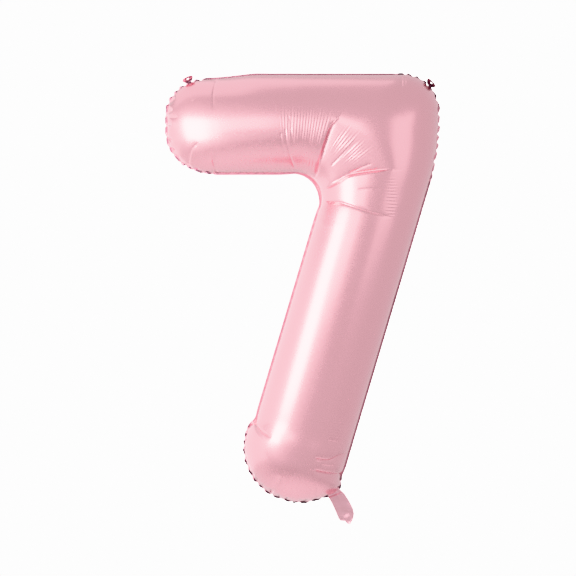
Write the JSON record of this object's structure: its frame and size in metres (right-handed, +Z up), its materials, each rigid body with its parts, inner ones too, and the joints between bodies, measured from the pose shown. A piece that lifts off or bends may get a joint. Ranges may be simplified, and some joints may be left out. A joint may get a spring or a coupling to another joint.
{
  "type": "foil number balloon",
  "caption": "Inflated foil balloon shaped as the digit seven, with a welded edge, punched hang tabs and a flat filling neck with a film valve inside.",
  "frame": {"origin": "centre of the bounding box, in the plane of the edge weld", "axes": "+Z up the digit, +X to the right as seen from the front, and -Y out of the front face"},
  "size_m": [0.551, 0.22, 0.9005],
  "materials": {
    "pink_foil": "metallised film, pastel pink, soft mirror gloss",
    "pink_weld": "two plies of the metallised film welded together, gloss",
    "valve_film": "clear polyethylene film"
  },
  "bodies": {
    "balloon": {"front_panel": "pink_foil", "back_panel": "pink_foil", "edge_seal": "pink_weld", "neck_collar": "pink_foil", "valve_throat": "valve_film"},
    "left_tab": {"left_hang_tab": "pink_weld"},
    "right_tab": {"right_hang_tab": "pink_weld"},
    "neck": {"neck_front_ply": "pink_foil", "neck_back_ply": "pink_foil", "valve_front_sleeve": "valve_film", "valve_back_sleeve": "valve_film"},
    "valve_front": {"valve_front_flap": "valve_film"},
    "valve_back": {"valve_back_flap": "valve_film"}
  },
  "joints": [
    {"name": "left_tab_fold", "type": "hinge", "parent": "balloon", "child": "left_tab", "pos_m": [-0.22767, 0, 0.4366], "axis": [0.894, 0, 0.448], "range_deg": [-145, 35]},
    {"name": "right_tab_fold", "type": "hinge", "parent": "balloon", "child": "right_tab", "pos_m": [0.2552, 0, 0.4296], "axis": [0.6947, 0, -0.7193], "range_deg": [-145, 35]},
    {"name": "neck_fold", "type": "hinge", "parent": "balloon", "child": "neck", "pos_m": [0.06167, 0, -0.38677], "axis": [0.891, 0, 0.454], "range_deg": [-90, 90]},
    {"name": "valve_front_open", "type": "hinge", "parent": "balloon", "child": "valve_front", "pos_m": [0.05236, 0, -0.3685], "axis": [0.891, 0, 0.454], "range_deg": [0, 20]},
    {"name": "valve_back_open", "type": "hinge", "parent": "balloon", "child": "valve_back", "pos_m": [0.05236, 0, -0.3685], "axis": [0.891, 0, 0.454], "range_deg": [-20, 0]}
  ]
}
